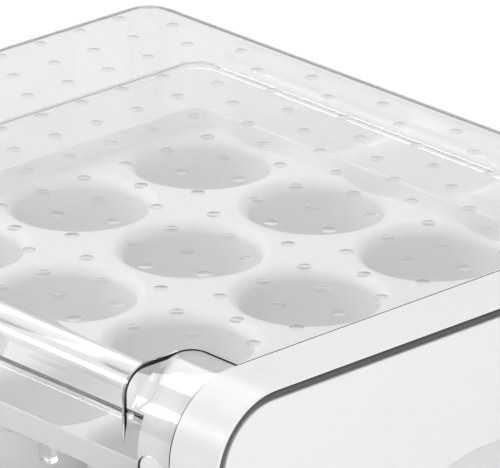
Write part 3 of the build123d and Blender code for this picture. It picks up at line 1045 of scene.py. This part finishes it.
def use_marks():
    """Group: a mask of soft smudges and one of hairline scratches, from 0 to 1."""
    group, given, out = new_group("marks of use", [("Smudge Size", 30.0), ("Scratch Size", 60.0)],
                                  ["Smudges", "Scratches"])
    smudge = new_node(group, "ShaderNodeTexNoise", Detail=5.0, Roughness=0.62)
    soft = new_node(group, "ShaderNodeMapRange", From_Min=0.5, From_Max=0.72)
    stretch = new_node(group, "ShaderNodeMapping", Rotation=(0.3, 0.2, 0.6), Scale=(1.0, 9.0, 3.0))
    bend = new_node(group, "ShaderNodeTexNoise", Scale=8.0, Detail=1.0)
    bent = new_node(group, "ShaderNodeVectorMath", operation="MULTIPLY_ADD")
    bent.inputs[1].default_value = (0.02, 0.02, 0.02)
    cells = new_node(group, "ShaderNodeTexVoronoi", feature="DISTANCE_TO_EDGE")
    thin = new_node(group, "ShaderNodeMapRange", From_Min=0.0, From_Max=0.012, To_Min=1.0, To_Max=0.0)
    patchy = new_node(group, "ShaderNodeTexNoise", Scale=40.0, Detail=2.0)
    where = new_node(group, "ShaderNodeMapRange", From_Min=0.52, From_Max=0.62)
    for texture in (smudge, stretch, bend, patchy):
        link(group, given.outputs["Vector"], texture.inputs["Vector"])
    for source, target in (
            (given.outputs["Smudge Size"], smudge.inputs["Scale"]),
            (smudge.outputs["Fac"], soft.inputs["Value"]),
            (bend.outputs["Color"], bent.inputs[0]),
            (stretch.outputs["Vector"], bent.inputs[2]),
            (bent.outputs["Vector"], cells.inputs["Vector"]),
            (given.outputs["Scratch Size"], cells.inputs["Scale"]),
            (cells.outputs["Distance"], thin.inputs["Value"]),
            (patchy.outputs["Fac"], where.inputs["Value"]),
            (soft.outputs["Result"], out.inputs["Smudges"])):
        link(group, source, target)
    both = number(group, "MULTIPLY", thin.outputs["Result"], where.outputs["Result"])
    link(group, both, out.inputs["Scratches"])
    return group


GRAIN = mould_grain()
MARKS = use_marks()
print("groups:", GRAIN.name, "and", MARKS.name)

# %% [markdown]
# One function lays out what all plastics here share: the piece's own coordinates feed both groups, the
# height goes through a bump node, and the masks raise the roughness. A material then sets its colour,
# gloss and clearness on the shader's own sockets. Clear plastic hardly shades what is behind it, so a
# lamp's shadow ray passes it with a slight loss, as real light does.

# %% Plastics
bump_distance = 0.0005


def grey(level):
    """Neutral colour of that linear level."""
    return (level, level, level, 1)


def mix_in(material, factor, colour):
    """Mixes a second colour into the material's own, as much as the factor says."""
    tree = material.node_tree
    base = tree.nodes["Principled BSDF"].inputs["Base Color"]
    mix = new_node(tree, "ShaderNodeMix", data_type="RGBA")
    mix.inputs["A"].default_value = base.default_value[:]
    mix.inputs["B"].default_value = colour
    link(tree, factor, mix.inputs["Factor"])
    link(tree, mix.outputs["Result"], base)


def plastic(name, roughness, wave=0.0, grain=0.0, bump=0.1, smudges=0.03, scratches=0.08, tint=None,
            **sockets):
    """Plastic whose roughness rises in smudges and scratches and whose surface has grain and waves.

    tint is a second colour that the smudge mask mixes in faintly. sockets are the shader's own inputs.
    """
    material = bpy.data.materials.new(name)
    material.use_nodes = True
    tree = material.node_tree
    shader = tree.nodes["Principled BSDF"]
    place = new_node(tree, "ShaderNodeTexCoord")
    grains = new_node(tree, "ShaderNodeGroup", node_tree=GRAIN, Wave=wave, Grain=grain)
    marks = new_node(tree, "ShaderNodeGroup", node_tree=MARKS)
    height = new_node(tree, "ShaderNodeBump", Strength=bump, Distance=bump_distance)
    for group in (grains, marks):
        link(tree, place.outputs["Object"], group.inputs["Vector"])
    link(tree, grains.outputs["Height"], height.inputs["Height"])
    link(tree, height.outputs["Normal"], shader.inputs["Normal"])
    dulled = number(tree, "MULTIPLY_ADD", marks.outputs["Smudges"], smudges, roughness)
    dulled = number(tree, "MULTIPLY_ADD", marks.outputs["Scratches"], scratches, dulled, clamp=True)
    link(tree, dulled, shader.inputs["Roughness"])
    for socket, value in sockets.items():
        shader.inputs[socket.replace("_", " ")].default_value = value
    if tint is not None:
        mix_in(material, marks.outputs["Smudges"], tint)
    return material


def let_lamps_through(material, share):
    """Lets shadow rays pass the material with that share of their light."""
    tree = material.node_tree
    path = new_node(tree, "ShaderNodeLightPath")
    clear = new_node(tree, "ShaderNodeBsdfTransparent", Color=grey(share))
    mix = new_node(tree, "ShaderNodeMixShader")
    link(tree, path.outputs["Is Shadow Ray"], mix.inputs[0])
    link(tree, tree.nodes["Principled BSDF"].outputs["BSDF"], mix.inputs[1])
    link(tree, clear.outputs["BSDF"], mix.inputs[2])
    link(tree, mix.outputs[0], tree.nodes["Material Output"].inputs["Surface"])
    return material


clear_case_plastic = let_lamps_through(plastic(
    "clear case plastic", 0.015, wave=0.5, grain=0.0, bump=0.06, smudges=0.02, scratches=0.10,
    Base_Color=grey(0.95), Transmission_Weight=1.0, IOR=1.55), 0.97)
dots = new_node(clear_case_plastic.node_tree, "ShaderNodeAttribute", attribute_name="dots")
mix_in(clear_case_plastic, dots.outputs["Fac"], grey(0.76))
clear_drawer_plastic = let_lamps_through(plastic(
    "clear drawer plastic", 0.02, wave=0.6, grain=0.0, bump=0.06, smudges=0.03, scratches=0.12,
    Base_Color=grey(0.95), Transmission_Weight=1.0, IOR=1.55), 0.97)
white_frame_plastic = plastic(
    "white frame plastic", 0.27, wave=0.3, grain=0.10, bump=0.10, smudges=0.05, scratches=0.04,
    tint=grey(0.79), Base_Color=grey(0.81), IOR=1.5)
white_front_plastic = plastic(
    "white front plastic", 0.33, wave=0.3, grain=0.14, bump=0.10, smudges=0.05, scratches=0.06,
    tint=grey(0.80), Base_Color=grey(0.82), IOR=1.5)
white_tray_plastic = plastic(
    "white tray plastic", 0.36, wave=0.2, grain=0.12, bump=0.08, smudges=0.06, scratches=0.05,
    tint=grey(0.90), Base_Color=grey(0.92), IOR=1.5)
# The seal is nearly black: partly the dark rubber of a real seal, partly painted shade that stands in for
# the shadow in the gap round the front.
seal_rubber_and_gap_shade = plastic(
    "seal rubber and gap shade", 0.55, wave=0.3, grain=0.3, bump=0.15, smudges=0.12, scratches=0.05,
    tint=grey(0.12), Base_Color=grey(0.095), IOR=1.43)
runner_plastic = plastic(
    "runner plastic", 0.38, wave=0.2, grain=0.2, bump=0.10, smudges=0.08, scratches=0.2,
    tint=grey(0.62), Base_Color=grey(0.68), IOR=1.48)
pad_rubber = plastic(
    "pad rubber", 0.6, wave=0.2, grain=0.4, bump=0.15, smudges=0.1, scratches=0.02,
    tint=grey(0.60), Base_Color=grey(0.66), IOR=1.43, Subsurface_Weight=0.15)
print("materials:", len(bpy.data.materials))

# %% [markdown]
# Each piece now takes its material and its body. The case and what is fixed to it stay; the drawer takes
# its front, its seal and its tray along. The runners, stops and pads already have the right shape in the
# frame, so they keep their meshes and only get a material.

# %% Dress the pieces
finish_piece(case, clear_case_plastic, "case", "clear_case", "case_shell")
finish_piece(frame_piece, white_frame_plastic, "case", "white_frame", "front_frame")
finish_piece(tub_piece, clear_drawer_plastic, "drawer", "clear_tub", "drawer_tub")
finish_piece(tray_piece, white_tray_plastic, "drawer", "white_tray", "egg_tray")
finish_piece(panel_piece, white_front_plastic, "drawer", "white_panel", "front_panel")
finish_piece(seal_piece, seal_rubber_and_gap_shade, "drawer", "seal", "panel_seal")
kept_nodes = {"runner": runner_plastic, "stop_block": runner_plastic, "pad": pad_rubber}
for name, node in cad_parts.items():
    for start, material in kept_nodes.items():
        if name.startswith(start):
            node.data.materials.clear()
            node.data.materials.append(material)
            print(name, "keeps its mesh, material:", material.name)

# %% [markdown]
# The floor is one large plane of pale paper. It has to look pure white to the camera, in the plastic's
# reflections and through it, and still keep a soft shadow. So its material adds a little light of its
# own to a white matt surface, and only for rays from the camera or ones that a clear or glossy surface
# sent on.

# %% Floor
floor_half = 4.0
floor_corners = np.array([[-1, -1, 0], [1, -1, 0], [1, 1, 0], [-1, 1, 0]]) * floor_half / MM
floor = add_object(make_mesh("paper floor", [], [floor_corners]))
if floor.data.polygons[0].normal.z < 0:
    floor.data.flip_normals()
paper = bpy.data.materials.new("white paper")
paper.use_nodes = True
tree = paper.node_tree
matt = tree.nodes["Principled BSDF"]
matt.inputs["Base Color"].default_value = grey(0.80)
matt.inputs["Roughness"].default_value = 0.9
glow_direct = 0.5
glow_through = 0.14
path = new_node(tree, "ShaderNodeLightPath")
sent_on = number(tree, "MAXIMUM", path.outputs["Is Glossy Ray"], path.outputs["Is Transmission Ray"])
through = number(tree, "MULTIPLY", sent_on, glow_through)
strength = number(tree, "MULTIPLY_ADD", path.outputs["Is Camera Ray"], glow_direct, through)
glow = new_node(tree, "ShaderNodeEmission")
add = new_node(tree, "ShaderNodeAddShader")
link(tree, strength, glow.inputs["Strength"])
link(tree, matt.outputs["BSDF"], add.inputs[0])
link(tree, glow.outputs["Emission"], add.inputs[1])
link(tree, add.outputs[0], tree.nodes["Material Output"].inputs["Surface"])
floor.data.materials.append(paper)
print("floor, half width in metres:", floor_half)

# %% [markdown]
# Clear plastic shows nothing of its own: it shows what is around it. A white room alone would make it
# vanish, so the world is bright above and dark at the horizon, and that dark ring draws the edge lines.
# Two lamps stand behind, where the clear edge and the frame's corner mirror them as white bands. Two more
# stand in front: one lights the white cap, the other reaches a little way into the cups.

# %% World and lamps
sky_strength = 0.87
world = bpy.data.worlds.new("studio")
bpy.context.scene.world = world
world.use_nodes = True
tree = world.node_tree
background = tree.nodes["Background"]
direction = new_node(tree, "ShaderNodeTexCoord")
split = new_node(tree, "ShaderNodeSeparateXYZ")
ramp = new_node(tree, "ShaderNodeValToRGB")
horizon, low_sky, open_sky = (0.0, 0.03), (0.12, 0.24), (0.36, 1.0)
elements = ramp.color_ramp.elements
elements.new(low_sky[0])
for element, (height, level) in zip(elements, (horizon, low_sky, open_sky)):
    element.position = height
    element.color = grey(level)
link(tree, direction.outputs["Generated"], split.inputs[0])
link(tree, split.outputs["Z"], ramp.inputs["Fac"])
link(tree, ramp.outputs["Color"], background.inputs["Color"])
background.inputs["Strength"].default_value = sky_strength


lamp_aim = Vector((0, 0, 0.05))
lamps = {
    "back lamp": ((0.10, 1.09, 1.15), (1.1, 0.40), 3.5),
    "back left lamp": ((-0.96, 1.09, 0.70), (0.4, 0.3), 3.5),
    "left lamp": ((-1.05, -1.05, 1.00), (0.9, 0.7), 2.8),
    "front lamp": ((-0.45, -1.50, 0.22), (1.0, 0.4), 6.0),
}


def soft_lamp(name, place, size, power):
    """Rectangular lamp at a place in metres, of a size in metres, that looks at the object."""
    light = bpy.data.lights.new(name, "AREA")
    light.shape = "RECTANGLE"
    light.size, light.size_y = size
    light.energy = power
    lamp = bpy.data.objects.new(name, light)
    bpy.context.scene.collection.objects.link(lamp)
    lamp.location = place
    lamp.rotation_euler = (lamp_aim - Vector(place)).to_track_quat("-Z", "Y").to_euler()


for name, (place, size, power) in lamps.items():
    soft_lamp(name, place, size, power)
print("lamps:", list(lamps))

# %% [markdown]
# The photograph was taken with a long lens from the front left, well above the top. The camera's place
# was found by lining up known edges of the case, its rim and its frame with the picture.

# %% Camera
camera_azimuth = math.radians(-42.918)
camera_elevation = math.radians(21.839)
camera_distance = 2.081
camera_target = Vector((0.015299, -0.013380, 0.060))
focal_pixels = 7002.0
photo_width = 500.0
sensor_width = 36.0
back = Vector((math.sin(camera_azimuth) * math.cos(camera_elevation),
               -math.cos(camera_azimuth) * math.cos(camera_elevation), math.sin(camera_elevation)))
lens = bpy.data.cameras.new("camera")
lens.sensor_width = sensor_width
lens.lens = focal_pixels / photo_width * sensor_width
camera = bpy.data.objects.new("camera", lens)
bpy.context.scene.collection.objects.link(camera)
camera.location = camera_target + back * camera_distance
camera.rotation_euler = (-back).to_track_quat("-Z", "Y").to_euler()
bpy.context.scene.camera = camera
bpy.context.scene.view_settings.view_transform = "Standard"
print("camera at", [round(x, 3) for x in camera.location])
